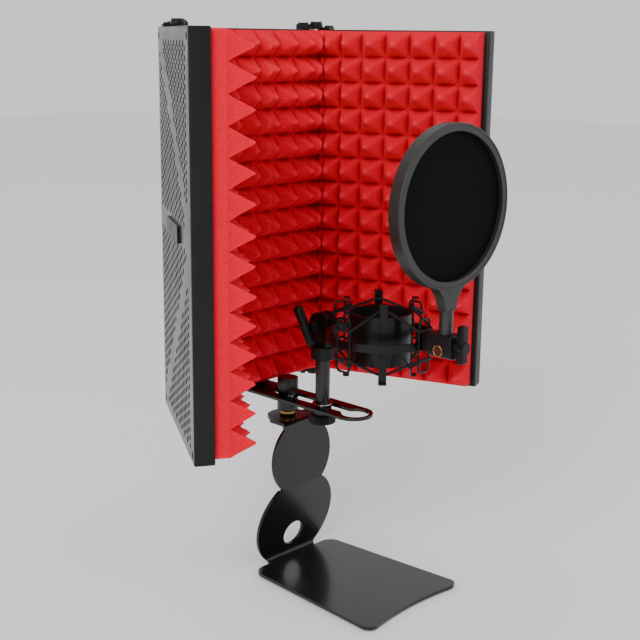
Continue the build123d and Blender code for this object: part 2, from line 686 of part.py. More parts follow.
def strip():
    """Flat strip up the side of the cradle, both ends turned out as hooks."""
    back = CRADLE_R + STRIP_T
    flat = block(-STRIP_W / 2, STRIP_W / 2, CRADLE_R, back, strip_low, strip_top)
    for low in (strip_low, strip_top - STRIP_T):
        flat += block(-STRIP_W / 2, STRIP_W / 2, CRADLE_R, back + STRIP_HOOK, low, low + STRIP_T)
    return flat


rivets = []
for z in rivet_heights:
    rivets += quarter_turns(strip_rivet(z), 45)
strips = [cut_all(one, rivets) for one in quarter_turns(strip(), 45)]
save(rivets, "strip_rivets")
save(strips, "cradle_strips")
can = tube(CRADLE_R, bore_r, CRADLE_Z, CRADLE_TOP, y=RING_Y)
save(cut_all(can, rivets), "inner_cylinder")
lining_r = bore_r - LINING_GAP
save(tube(lining_r, lining_r - LINING_T, CRADLE_Z, CRADLE_TOP, y=RING_Y), "cradle_lining")


def meet(p, p_dir, q, q_dir):
    """Point where two plan lines cross."""
    cross = p_dir[0] * q_dir[1] - p_dir[1] * q_dir[0]
    t = ((q[0] - p[0]) * q_dir[1] - (q[1] - p[1]) * q_dir[0]) / cross
    return (p[0] + t * p_dir[0], p[1] + t * p_dir[1])


def cord(inner_z, outer_z):
    """Closed elastic cord: outside each wire loop, then inside each strip, eight runs in all."""
    wrap_loop = LOOP_WIRE_R + CORD_R + CORD_CLEAR
    wrap_strip = STRIP_T / 2 + CORD_R + CORD_CLEAR
    c45 = math.cos(math.radians(45))
    strip_mid = CRADLE_R + STRIP_T / 2
    loop_point = (LOOP_W / 2 - LOOP_WIRE_R, RING_R)
    strip_point = (c45 * (strip_mid - STRIP_W / 2), c45 * (strip_mid + STRIP_W / 2))
    dx = strip_point[0] - loop_point[0]
    dy = strip_point[1] - loop_point[1]
    heading = math.atan2(dy, dx) - math.asin((wrap_loop + wrap_strip) / math.hypot(dx, dy))
    run = (math.cos(heading), math.sin(heading))
    start = (loop_point[0] - wrap_loop * run[1], loop_point[1] + wrap_loop * run[0])
    outer = meet(start, run, (0, RING_R + wrap_loop), (1, 0))
    inner_mid = c45 * (strip_mid - wrap_strip)
    inner = meet(start, run, (inner_mid, inner_mid), (c45, -c45))
    corners = []
    for k in range(4):
        turn = math.radians(-90 * k)
        for x, y, z in ((-outer[0], outer[1], outer_z), (*outer, outer_z), (*inner, inner_z),
                        (inner[1], inner[0], inner_z)):
            rx = x * math.cos(turn) - y * math.sin(turn)
            ry = x * math.sin(turn) + y * math.cos(turn)
            corners.append((rx, RING_Y + ry, z))
    route = FilletPolyline(*corners, radius=wrap_loop, close=True)
    return sweep(Plane(route @ 0, z_dir=route % 0) * Circle(CORD_R), path=route)


save(cord(CRADLE_TOP + CORD_ABOVE_CRADLE, RING_Z + CORD_ABOVE_RING), "upper_cord")
save(cord(CRADLE_Z - CORD_BELOW_CRADLE, RING_Z - CORD_BELOW_RING), "lower_cord")

# ---------------------------------------------------------------------------
# Filter clamp, hooked over the front of the ring
# ---------------------------------------------------------------------------
ring_front = RING_Y - RING_R
limb_low = SCREW_Z + JAW_LIMB_UP
limb_top = limb_low + JAW_LIMB_T
jaw_half = JAW_W / 2
clamp_half = CLAMP_W / 2
lip_front = RING_Y - math.sqrt((RING_R - RING_T) ** 2 - jaw_half ** 2) + JAW_FIT
body = block(-clamp_half, clamp_half, CLAMP_FRONT_Y, CLAMP_REAR_Y, CLAMP_Z, CLAMP_TOP)
long_edges = body.edges().filter_by(Axis.Y).sort_by(Axis.Z)
body = fillet(long_edges[:2], CLAMP_LOW_R)
body = fillet(body.edges().filter_by(Axis.Y).sort_by(Axis.Z)[-2:], CLAMP_TOP_R)
for end in (0, -1):
    body = fillet(body.faces().sort_by(Axis.Y)[end].edges(), CLAMP_END_R)
body += block(-jaw_half, jaw_half, CLAMP_REAR_Y - CLAMP_END_R, lip_front + JAW_LIP_T, limb_low, limb_top)
body += block(-jaw_half, jaw_half, lip_front, lip_front + JAW_LIP_T, ring_low, limb_top)
body -= along("y", SCREW_R + RUN_FIT, CLAMP_FRONT_Y - 1, CLAMP_REAR_Y + 1, z=SCREW_Z)
insert_place = {"y": CLAMP_REAR_Y - INSERT_IN, "z": CLAMP_Z + INSERT_UP}
body -= along("x", INSERT_R, -clamp_half - 1, -clamp_half + INSERT_DEEP, **insert_place)
body -= rod(SPIGOT_R + RUN_FIT, CLAMP_TOP - SPIGOT_L - SOCKET_CLEAR, CLAMP_TOP + 1, y=FILTER_Y)
save(body, "clamp_body")
insert_left = -clamp_half - INSERT_PROUD
insert = along("x", INSERT_R, insert_left, -clamp_half + INSERT_DEEP, **insert_place)
save(insert, "clamp_insert")
pad_front = CLAMP_REAR_Y + PAD_OVER
pad_half = PAD_W / 2
save(block(-pad_half, pad_half, pad_front, ring_front - PAD_FIT, ring_low, limb_low - PAD_OVER), "clamp_pad")
hub_rear = CLAMP_FRONT_Y - HUB_GAP
hub_front = hub_rear - HUB_L
screw_end = hub_rear - SCREW_SINK
save(along("y", SCREW_R, screw_end, pad_front - FACE_GAP, z=SCREW_Z), "clamp_screw")
handle_y = (hub_front + hub_rear) / 2
handle = Pos(0, handle_y, SCREW_Z + HANDLE_SHIFT) * Box(HANDLE_W, HANDLE_D, HANDLE_L)
handle = fillet(handle.edges(), HANDLE_ROUND)
handle += along("y", HUB_R, hub_front, hub_rear, z=SCREW_Z)
save(handle - along("y", SCREW_R, screw_end, hub_rear + 1, z=SCREW_Z), "clamp_handle")

# ---------------------------------------------------------------------------
# Pop filter
# ---------------------------------------------------------------------------
def ring_y(outer, inner, y_front, y_rear):
    """Flat ring facing the singer."""
    flat = extrude(Circle(outer) - Circle(inner), y_rear - y_front)
    return Pos(0, y_front, FILTER_Z) * Rot(-90, 0, 0) * flat


def disc_y(radius, y_front, y_rear):
    """Flat disc facing the singer."""
    return Pos(0, y_front, FILTER_Z) * Rot(-90, 0, 0) * extrude(Circle(radius), y_rear - y_front)


def turned(shape):
    """Turn a part of the filter a little about its own post."""
    return Pos(0, FILTER_Y, 0) * Rot(0, 0, -FILTER_TURN) * Pos(0, -FILTER_Y, 0) * shape


front = FILTER_Y - FILTER_DEPTH / 2
rear = FILTER_Y + FILTER_DEPTH / 2
seat_r = FILTER_R - HOOP_T
hoop = ring_y(FILTER_R, seat_r, front, rear)
hoop = fillet(hoop.edges().filter_by(GeomType.CIRCLE).sort_by(SortBy.RADIUS)[-2:], HOOP_ROUND)
top_w = NECK_TOP_W / 2
low_w = NECK_LOW_W / 2
neck_join = FILTER_Z - math.sqrt(FILTER_R ** 2 - top_w ** 2)
neck_low = CLAMP_TOP + NECK_LOW_UP
neck_mid = (neck_low + neck_join) / 2
neck_cover = neck_join + NECK_OVERLAP
left_flare = ThreePointArc((-top_w, neck_join), (-low_w - NECK_BULGE, neck_mid), (-low_w, neck_low))
right_flare = ThreePointArc((low_w, neck_low), (low_w + NECK_BULGE, neck_mid), (top_w, neck_join))
neck_outline = make_face([
    left_flare, Line((-low_w, neck_low), (low_w, neck_low)), right_flare,
    Line((top_w, neck_join), (top_w, neck_cover)), Line((top_w, neck_cover), (-top_w, neck_cover)),
    Line((-top_w, neck_cover), (-top_w, neck_join)),
])
neck = Pos(0, FILTER_Y, 0) * extrude(Plane.XZ * neck_outline, NECK_T / 2, both=True)
neck -= along("y", seat_r + 0.5, front - 5, rear + 5, z=FILTER_Z)
frame = hoop + neck + rod(FILTER_POST_R, CLAMP_TOP + FACE_GAP, neck_low + 1, y=FILTER_Y)
frame += rod(SPIGOT_R, CLAMP_TOP - SPIGOT_L, CLAMP_TOP + 1, y=FILTER_Y)
save(turned(frame), "filter_frame")
inner_r = FILTER_R - FACE_RING_W
mesh_front = FILTER_Y - MESH_APART / 2
mesh_rear = FILTER_Y + MESH_APART / 2
save([
    turned(ring_y(seat_r, inner_r, mesh_front - MESH_T - FACE_RING_T, mesh_front - MESH_T)),
    turned(ring_y(seat_r, inner_r, mesh_rear + MESH_T, mesh_rear + MESH_T + FACE_RING_T)),
], "filter_rings")
save(turned(ring_y(seat_r, inner_r + SPACER_INSET, mesh_front, mesh_rear)), "mesh_spacer")
mesh_r = seat_r - MESH_FIT
save([
    turned(disc_y(mesh_r, mesh_front - MESH_T, mesh_front)),
    turned(disc_y(mesh_r, mesh_rear, mesh_rear + MESH_T)),
], "filter_mesh")
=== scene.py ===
import math
import random

import bmesh
import bpy
from mathutils import Matrix, Vector
from mathutils.geometry import delaunay_2d_cdt


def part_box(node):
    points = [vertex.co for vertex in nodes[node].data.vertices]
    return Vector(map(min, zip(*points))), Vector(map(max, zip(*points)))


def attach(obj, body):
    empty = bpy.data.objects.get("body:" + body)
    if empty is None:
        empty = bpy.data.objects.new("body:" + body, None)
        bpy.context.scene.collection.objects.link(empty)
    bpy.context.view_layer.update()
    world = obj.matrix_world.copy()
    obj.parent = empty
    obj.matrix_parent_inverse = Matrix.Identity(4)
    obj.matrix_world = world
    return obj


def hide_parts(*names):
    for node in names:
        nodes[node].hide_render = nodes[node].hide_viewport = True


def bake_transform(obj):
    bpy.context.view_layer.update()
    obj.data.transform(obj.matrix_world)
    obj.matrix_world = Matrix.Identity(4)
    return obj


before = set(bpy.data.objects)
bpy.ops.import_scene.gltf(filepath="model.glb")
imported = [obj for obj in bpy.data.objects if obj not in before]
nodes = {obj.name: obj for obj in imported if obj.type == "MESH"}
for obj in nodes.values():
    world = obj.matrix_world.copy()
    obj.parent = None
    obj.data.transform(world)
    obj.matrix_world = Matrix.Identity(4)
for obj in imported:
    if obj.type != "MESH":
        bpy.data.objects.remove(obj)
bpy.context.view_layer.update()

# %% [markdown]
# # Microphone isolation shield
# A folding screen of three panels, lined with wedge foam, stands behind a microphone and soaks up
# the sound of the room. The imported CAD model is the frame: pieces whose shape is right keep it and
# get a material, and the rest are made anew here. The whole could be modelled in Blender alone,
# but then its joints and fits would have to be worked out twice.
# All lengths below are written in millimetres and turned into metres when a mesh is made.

# %% [markdown]
# ## Sizes shared by the pieces below
# They repeat the CAD model's numbers: the hinge line, the panel size and how far each wing is
# folded. Heights are read from the CAD box of the bar, so the shield stays on the bar if it moves.
# The other numbers are typed in, because a box says nothing about a hinge line or an angle.

# %% Sizes
HINGE_Y = 140.0
PANEL_W = 180.0
PANEL_H = 350.0
TRAY_DEPTH = 18.0
SHEET = 1.2
LEFT_FOLD = math.radians(58)
RIGHT_FOLD = math.radians(71)
BAR_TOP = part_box("slotted_bar")[1].z * 1000
SHIELD_TOP = BAR_TOP + PANEL_H
RING_Y = -29.5
print("shield from", round(BAR_TOP, 2), "to", round(SHIELD_TOP, 2))

# %% [markdown]
# ## Camera
# It stands to the left of the singer and a little above, and looks down into the shield. A camera
# could be aimed with a tracking constraint. Here its three axes are built from an azimuth, a tilt
# and a roll, because a constraint gives no roll and would hide where the camera looks.

# %% Camera
CAMERA_AT = Vector((-0.79255, -0.69688, 0.5159))
azimuth, down, roll = (math.radians(a) for a in (46.86, 13.51, 0.64))
forward = Vector((math.sin(azimuth) * math.cos(down), math.cos(azimuth) * math.cos(down), -math.sin(down)))
level = Vector((math.cos(azimuth), -math.sin(azimuth), 0))
upward = level.cross(forward)
right = level * math.cos(roll) + upward * math.sin(roll)
upward = upward * math.cos(roll) - level * math.sin(roll)
camera_data = bpy.data.cameras.new("camera")
camera_data.lens = 66.21
camera_data.sensor_width = 36.0
camera = bpy.data.objects.new("camera", camera_data)
bpy.context.scene.collection.objects.link(camera)
turn = Matrix((right, upward, -forward)).transposed()
camera.matrix_world = Matrix.Translation(CAMERA_AT) @ turn.to_4x4()
bpy.context.scene.camera = camera
print("camera at", tuple(round(c, 3) for c in CAMERA_AT), "lens", camera_data.lens)

# %% [markdown]
# ## Helpers for meshes
# A mesh is made from points in millimetres. Curved sides are shaded smooth and folds stay sharp.
# Bevels and thickness are modifiers rather than modelled edges, so that they can be changed later.
# A weighted normal follows each bevel: without it the large flat faces of a CAD mesh show streaks.


# %% Mesh helpers
def link(obj):
    bpy.context.scene.collection.objects.link(obj)
    return obj


def smooth_by_angle(obj, degrees=35.0):
    """Smooth shading with sharp edges where faces meet at more than the angle."""
    bpy.ops.object.select_all(action="DESELECT")
    obj.select_set(True)
    bpy.context.view_layer.objects.active = obj
    bpy.ops.object.shade_smooth_by_angle(angle=math.radians(degrees))
    obj.select_set(False)


def make_object(name, points, faces, material, body, angle=35.0):
    """New piece from points in millimetres; it rides on a CAD body."""
    mesh = bpy.data.meshes.new(name)
    mesh.from_pydata([tuple(c / 1000 for c in p) for p in points], [], faces)
    mesh.validate()
    obj = link(bpy.data.objects.new(name, mesh))
    obj.data.materials.append(material)
    smooth_by_angle(obj, angle)
    if body:
        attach(obj, body)
    return obj


def add_bevel(obj, width, segments=2, degrees=30.0):
    """Small rounded edges, so that they catch the light."""
    bevel = obj.modifiers.new("bevel", "BEVEL")
    bevel.width = width / 1000
    bevel.segments = segments
    bevel.limit_method = "ANGLE"
    bevel.angle_limit = math.radians(degrees)
    weighted = obj.modifiers.new("flat faces", "WEIGHTED_NORMAL")
    weighted.mode = "FACE_AREA"
    weighted.weight = 90
    return bevel


def add_solidify(obj, thickness, offset=-1.0):
    solid = obj.modifiers.new("thickness", "SOLIDIFY")
    solid.thickness = thickness / 1000
    solid.offset = offset
    split = obj.modifiers.new("crisp edges", "EDGE_SPLIT")
    split.split_angle = math.radians(35)
    return solid


# %% [markdown]
# ## Helpers for materials
# Each material is a Principled shader whose colour, roughness and bump come from procedural nodes.
# They work in object space, so that the grain keeps its real size on a small piece and a large one.
# Painted images would need unwrapped meshes, and CAD pieces come without a UV map.


# %% Material helpers
def principled(name, colour, roughness, metallic=0.0, **sockets):
    material = bpy.data.materials.new(name)
    material.use_nodes = True
    tree = material.node_tree
    shader = tree.nodes["Principled BSDF"]
    shader.inputs["Base Color"].default_value = (*colour, 1)
    shader.inputs["Roughness"].default_value = roughness
    shader.inputs["Metallic"].default_value = metallic
    for key, value in sockets.items():
        shader.inputs[key.replace("_", " ")].default_value = value
    material.diffuse_color = (*colour, 1)
    return material, tree, shader


def node(tree, kind, **values):
    made = tree.nodes.new(kind)
    for key, value in values.items():
        if key in made.inputs:
            made.inputs[key].default_value = value
        else:
            setattr(made, key, value)
    return made


def coordinates(tree, kind="Object"):
    return tree.nodes.new("ShaderNodeTexCoord").outputs[kind]


def noise(tree, scale, detail=3.0, roughness=0.6, vector=None):
    made = node(tree, "ShaderNodeTexNoise", Scale=scale, Detail=detail, Roughness=roughness)
    tree.links.new(vector or coordinates(tree), made.inputs["Vector"])
    return made.outputs["Fac"]


def ramp(tree, factor, low, high, low_at=0.35, high_at=0.65):
    made = node(tree, "ShaderNodeMapRange")
    made.inputs["From Min"].default_value = low_at
    made.inputs["From Max"].default_value = high_at
    made.inputs["To Min"].default_value = low
    made.inputs["To Max"].default_value = high
    tree.links.new(factor, made.inputs["Value"])
    return made.outputs["Result"]


def blend_colours(tree, factor, first, second):
    made = node(tree, "ShaderNodeMix", data_type="RGBA")
    made.inputs[6].default_value = (*first, 1)
    made.inputs[7].default_value = (*second, 1)
    tree.links.new(factor, made.inputs[0])
    return made.outputs[2]


def bump(tree, shader, height, strength, distance):
    made = node(tree, "ShaderNodeBump", Strength=strength, Distance=distance / 1000)
    tree.links.new(height, made.inputs["Height"])
    old = shader.inputs["Normal"].links
    if old:
        tree.links.new(old[0].from_socket, made.inputs["Normal"])
    tree.links.new(made.outputs["Normal"], shader.inputs["Normal"])
    return made


def painted(name, colour, roughness, grain, grain_bump, coat=0.0, shine=0.5):
    """Paint or plastic: mottled colour, uneven gloss and a fine grain."""
    material, tree, shader = principled(name, colour, roughness, Coat_Weight=coat, Coat_Roughness=0.1)
    shader.inputs["Specular IOR Level"].default_value = shine
    darker = tuple(c * 0.6 for c in colour)
    mottled = blend_colours(tree, ramp(tree, noise(tree, 35.0, 4.0), 0.0, 1.0), darker, colour)
    tree.links.new(mottled, shader.inputs["Base Color"])
    smudge = noise(tree, 18.0, 5.0)
    tree.links.new(ramp(tree, smudge, roughness * 0.85, roughness * 1.2), shader.inputs["Roughness"])
    bump(tree, shader, noise(tree, grain, 2.0), grain_bump, 0.12)
    return material


def ridges(tree, low_at, high_at):
    """1 along the ridges of a finely divided surface, from its curvature."""
    geometry = tree.nodes.new("ShaderNodeNewGeometry")
    return ramp(tree, geometry.outputs["Pointiness"], 0.0, 1.0, low_at, high_at)


# %% [markdown]
# ## Hard materials
# Nearly every hard piece is black, and only the sheen tells them apart: gloss paint on the stand
# and bar, a fine dark coat on the trays, satin black on the shock mount, moulded plastic. So one
# function makes them all, with its own gloss and grain for each. The tray's outer face has a paler
# entry: a painted reflection of the bright surround at a grazing angle, on the same black paint.
# Turned metal has rings across its axis.

# %% Hard materials
gloss_black = painted("gloss_black", (0.0032, 0.0032, 0.0030), 0.24, 900.0, 0.04, 0.1, 0.4)
satin_black = painted("satin_black", (0.0030, 0.0030, 0.0028), 0.30, 1100.0, 0.06, 0.0, 0.25)
tray_paint = painted("tray_paint", (0.0045, 0.0048, 0.0042), 0.38, 1500.0, 0.10, 0.0, 0.25)
# Painted reflection: the outer face is the tray's own black paint, made paler for the bright surround it
# reflects at a grazing angle.
face_painted_reflection = painted("face_painted_reflection", (0.022, 0.023, 0.021), 0.34, 1500.0, 0.10, 0.15, 0.6)
black_plastic = painted("black_plastic", (0.0030, 0.0030, 0.0028), 0.40, 1300.0, 0.14, 0.0, 0.25)
filter_plastic = painted("filter_plastic", (0.016, 0.018, 0.016), 0.4, 1300.0, 0.12, 0.0, 0.5)
rubber = painted("rubber", (0.006, 0.006, 0.006), 0.75, 800.0, 0.3, 0.0, 0.3)
hardware_black = painted("hardware_black", (0.004, 0.004, 0.004), 0.28, 1000.0, 0.05, 0.0, 0.35)


def turned_metal(name, colour, roughness, rings):
    """Turned metal: fine rings across the axis and a little tarnish."""
    material, tree, shader = principled(name, colour, roughness, 1.0)
    cloud = noise(tree, 120.0, 4.0)
    dull = tuple(c * 0.7 for c in colour)
    tarnished = blend_colours(tree, ramp(tree, cloud, 0.0, 1.0), dull, colour)
    tree.links.new(tarnished, shader.inputs["Base Color"])
    wave = node(tree, "ShaderNodeTexWave", Scale=rings, Distortion=0.6)
    wave.bands_direction = "Z"
    tree.links.new(coordinates(tree), wave.inputs["Vector"])
    bump(tree, shader, wave.outputs["Fac"], 0.5, 0.12)
    return material


brass = turned_metal("brass", (0.62, 0.36, 0.13), 0.25, 260.0)
brass_over_black = turned_metal("brass_over_black", (0.62, 0.36, 0.13), 0.25, 260.0)
foot_tree = brass_over_black.node_tree
foot_shader = foot_tree.nodes["Principled BSDF"]
height = node(foot_tree, "ShaderNodeSeparateXYZ")
foot_tree.links.new(coordinates(foot_tree, "Generated"), height.inputs[0])
above = ramp(foot_tree, height.outputs["Z"], 0.0, 1.0, 0.14, 0.16)
foot_mix = node(foot_tree, "ShaderNodeMix", data_type="RGBA")
foot_mix.inputs[6].default_value = (0.004, 0.004, 0.004, 1)
foot_tree.links.new(foot_shader.inputs["Base Color"].links[0].from_socket, foot_mix.inputs[7])
foot_tree.links.new(above, foot_mix.inputs[0])
foot_tree.links.new(foot_mix.outputs[2], foot_shader.inputs["Base Color"])
insert_bronze = turned_metal("insert_bronze", (0.16, 0.055, 0.04), 0.35, 400.0)
bright_steel = turned_metal("bright_steel", (0.62, 0.62, 0.64), 0.22, 500.0)

# %% [markdown]
# ## Soft materials
# Open-cell foam is made of tiny torn bubbles: light fades in the valleys and catches on the ridges.
# Subsurface scattering would be one way to show it. Here the curvature of the mesh paints shade into
# the valleys and a highlight onto the ridges of the colour, which renders faster and keeps the wedges
# crisp. Gauze and braid are two crossed sets of threads on a UV map in millimetres, with painted shade
# in the gaps between the threads; fleece and felt are dense noise.


# %% Soft materials
def red_foam_material():
    material, tree, shader = principled("red_foam", (0.70, 0.012, 0.02), 0.95, Specular_IOR_Level=0.08)
    shader.inputs["Sheen Weight"].default_value = 0.04
    shader.inputs["Sheen Roughness"].default_value = 0.4
    shader.inputs["Sheen Tint"].default_value = (1.0, 0.3, 0.35, 1)
    cells = noise(tree, 1300.0, 3.0, 0.7)
    body = blend_colours(tree, ramp(tree, cells, 0.0, 1.0), (0.60, 0.001, 0.016), (0.86, 0.004, 0.032))
    # Painted shade darkens the colour in the valleys, and a painted highlight makes it paler on the ridges;
    # both follow the curvature.
    painted_valley_shade = node(tree, "ShaderNodeMix", data_type="RGBA")
    tree.links.new(ridges(tree, 0.40, 0.50), painted_valley_shade.inputs[0])
    painted_valley_shade.inputs[6].default_value = (0.34, 0.0, 0.010, 1)
    tree.links.new(body, painted_valley_shade.inputs[7])
    shade_and_highlight = node(tree, "ShaderNodeMix", data_type="RGBA")
    tree.links.new(ridges(tree, 0.53, 0.72), shade_and_highlight.inputs[0])
    tree.links.new(painted_valley_shade.outputs[2], shade_and_highlight.inputs[6])
    shade_and_highlight.inputs[7].default_value = (0.95, 0.045, 0.085, 1)
    tree.links.new(shade_and_highlight.outputs[2], shader.inputs["Base Color"])
    bump(tree, shader, cells, 0.45, 0.5)
    bump(tree, shader, noise(tree, 420.0, 2.0), 0.3, 0.6)
    streaks = node(tree, "ShaderNodeMapping")
    streaks.inputs["Scale"].default_value = (1.0, 1.0, 9.0)
    tree.links.new(coordinates(tree), streaks.inputs["Vector"])
    bump(tree, shader, noise(tree, 90.0, 2.0, 0.5, streaks.outputs["Vector"]), 0.25, 0.5)
    return material


def weave_material(name, thread, shaded_gap, pitch, roughness, see_through=0.0, shine=0.25):
    """Plain weave: two crossed sets of threads on the UV map, which is in millimetres."""
    material, tree, shader = principled(name, thread, roughness, Specular_IOR_Level=shine)
    uv = coordinates(tree, "UV")
    waves = []
    for direction in ("X", "Y"):
        wave = node(tree, "ShaderNodeTexWave", Scale=1.0 / (pitch * 3.1), Distortion=0.15)
        wave.bands_direction = direction
        tree.links.new(uv, wave.inputs["Vector"])
        waves.append(wave.outputs["Fac"])
    top = node(tree, "ShaderNodeMath", operation="MAXIMUM")
    tree.links.new(waves[0], top.inputs[0])
    tree.links.new(waves[1], top.inputs[1])
    height = ramp(tree, top.outputs[0], 0.0, 1.0, 0.3, 1.0)
    # Painted shade: the gaps between the threads get the darker colour.
    tree.links.new(blend_colours(tree, height, shaded_gap, thread), shader.inputs["Base Color"])
    bump(tree, shader, height, 0.6, 0.15)
    if see_through:
        clear = ramp(tree, top.outputs[0], 1.0 - see_through, 1.0, 0.3, 0.7)
        tree.links.new(clear, shader.inputs["Alpha"])
    return material


def fleece(name, colour):
    material, tree, shader = principled(name, colour, 0.95, Specular_IOR_Level=0.1)
    fibres = noise(tree, 700.0, 5.0, 0.8)
    pale = tuple(c * 2.2 for c in colour)
    fluffy = blend_colours(tree, ramp(tree, fibres, 0.0, 1.0), colour, pale)
    tree.links.new(fluffy, shader.inputs["Base Color"])
    bump(tree, shader, fibres, 0.7, 0.5)
    return material


red_foam = red_foam_material()
gauze = weave_material(
    "filter_gauze", (0.0035, 0.0038, 0.0030), (0.0005, 0.0005, 0.0005), 0.9, 0.75, 0.03, 0.08)
braid = weave_material("elastic_braid", (0.007, 0.007, 0.007), (0.001, 0.001, 0.001), 0.6, 0.6)
backing_fleece = fleece("backing_fleece", (0.002, 0.002, 0.002))
felt = fleece("lining_felt", (0.003, 0.003, 0.003))
print("materials", len(bpy.data.materials))

# %% [markdown]
# ## Finishes on the CAD pieces that stay
# Screws, brackets, rings and the folded stand are right as the CAD model has them. They could be
# remeshed for even faces, but that would blur their edges. Instead they are welded, shaded smooth
# and given a fine bevel by modifiers, which leave the CAD vertices as they are.

# %% Finishes for CAD pieces
finish = {
    gloss_black: [
        "stand_frame", "slotted_bar", "coupling_lower", "coupling_washer", "mic_post", "post_sleeve",
    ],
    satin_black: [
        "outer_ring", "cord_loops", "inner_cylinder", "cradle_strips", "strip_rivets",
        "hinge_leaves_left", "hinge_leaves_middle", "hinge_leaves_right",
    ],
    tray_paint: ["badge_left", "badge_middle", "badge_right"],
    hardware_black: [
        "stud_bolt", "bar_screws", "pivot_bolt", "hinge_screws_left", "hinge_screws_middle",
        "hinge_screws_right", "hinge_pins_left", "hinge_pins_right",
    ],
    bright_steel: [
        "coupling_rod", "bar_nuts", "post_washer", "post_stud", "clamp_screw",
    ],
    brass_over_black: ["brass_stud"],
    insert_bronze: ["clamp_insert"],
    black_plastic: [
        "slot_bush", "fork_head", "tilt_lever", "ring_arm", "clamp_body", "clamp_pad", "clamp_handle",
    ],
    filter_plastic: ["filter_frame", "filter_rings", "mesh_spacer"],
    rubber: ["base_pad"],
    backing_fleece: ["backing_left", "backing_middle", "backing_right"],
    felt: ["cradle_lining"],
}
bevels = {"stand_frame": 0.5, "slotted_bar": 0.4, "clamp_body": 0.5, "ring_arm": 0.7, "fork_head": 0.5}
for material, names in finish.items():
    for name in names:
        obj = nodes[name]
        obj.data.materials.clear()
        obj.data.materials.append(material)
        weld = obj.modifiers.new("weld", "WELD")
        weld.merge_threshold = 0.00001
        smooth_by_angle(obj)
        add_bevel(obj, bevels.get(name, 0.25))
print("finished", sum(len(names) for names in finish.values()), "CAD pieces")

# %% [markdown]
# ## Where the panels are
# A panel is drawn along +X from its hinge with its outer side at +Y, then folded into place. The
# middle panel is drawn from its own middle. Drawing each one flat keeps the patterns on it simple,
# and a single matrix then takes care of the fold.


# %% Panel placement
def panel_matrix(panel):
    if panel == "left":
        flip = Matrix.Scale(-1, 4, Vector((1, 0, 0)))
        hinge = Matrix.Translation((-PANEL_W / 2, HINGE_Y, 0))
        return hinge @ Matrix.Rotation(LEFT_FOLD, 4, "Z") @ flip
    if panel == "right":
        return Matrix.Translation((PANEL_W / 2, HINGE_Y, 0)) @ Matrix.Rotation(-RIGHT_FOLD, 4, "Z")
    return Matrix.Translation((0, HINGE_Y, 0))


def place(points, panel):
    matrix = panel_matrix(panel)
    return [matrix @ Vector(p) for p in points]


def outward(obj):
    """Normals point out of a closed mesh, whichever way its faces were listed."""
    bm = bmesh.new()
    bm.from_mesh(obj.data)
    bmesh.ops.recalc_face_normals(bm, faces=bm.faces)
    bm.to_mesh(obj.data)
    bm.free()


# %% [markdown]
# ## Perforated trays
# On the real object one steel sheet is punched and folded into a shallow tray. The face has round
# holes in staggered rows, and plain bands between them: a level one in the middle and two slanting
# ones that meet at one edge. The holes could be cut by a boolean, which is slow and fragile for
# some 700 of them. A triangulation with the holes as borders makes the sheet in one step.
# The rim is a section swept round the face: outer bend, flange and return lip.

# %% Tray meshes
HOLE_R = 2.85
HOLE_PITCH = 16.5
ROW_PITCH = 3.65
BARE_EDGE = 12.0
BAND = 15.0
FACE_INSET = 4.0
MID_BAND_V = PANEL_H * 0.52
CORNER_HOLE_IN = 7.5
CORNER_HOLE_R = 3.4
HOLE_SIDES = 10
BEND_R = 1.6
LIP = 8.0


def distance_to_line(u, v, start, end):
    dx, dy = end[0] - start[0], end[1] - start[1]
    return abs((u - start[0]) * dy - (v - start[1]) * dx) / math.hypot(dx, dy)


def hole_centres(u0, u1, apex_u, far_u):
    """Holes of one face; the slanting bands run from the apex side's middle to the far corners."""
    centres = []
    rows = int((PANEL_H - 2 * BARE_EDGE) / ROW_PITCH)
    for row in range(rows + 1):
        v = BARE_EDGE + row * ROW_PITCH
        u = u0 + BARE_EDGE + (HOLE_PITCH / 2 if row % 2 else 0)
        while u <= u1 - BARE_EDGE + 0.1:
            bands = (
                distance_to_line(u, v, (apex_u, MID_BAND_V), (far_u, 0)),
                distance_to_line(u, v, (apex_u, MID_BAND_V), (far_u, PANEL_H)),
                abs(v - MID_BAND_V),
            )
            if min(bands) > BAND / 2 + HOLE_R * 0.6:
                centres.append((u, v, HOLE_R))
            u += HOLE_PITCH
    for u in (u0 + CORNER_HOLE_IN, u1 - CORNER_HOLE_IN):
        for v in (CORNER_HOLE_IN, PANEL_H - CORNER_HOLE_IN):
            centres.append((u, v, CORNER_HOLE_R))
    return centres


def face_outward(obj, panel):
    """The sheet's front looks out of the panel; the lip, which looks the other way, is outvoted."""
    outer = panel_matrix(panel).to_3x3() @ Vector((0, 1, 0))
    depth = [(p.area * p.normal.dot(outer), p) for p in obj.data.polygons]
    widest = max(depth, key=lambda pair: abs(pair[0]))
    flip = widest[0] < 0 if "face" in obj.name else None
    if flip is None:
        first_band = [p for p in obj.data.polygons[:4]]
        flip = sum(p.normal.dot(outer) for p in first_band) < 0
    if flip:
        obj.data.flip_normals()
    print(obj.name, "flipped" if flip else "kept")


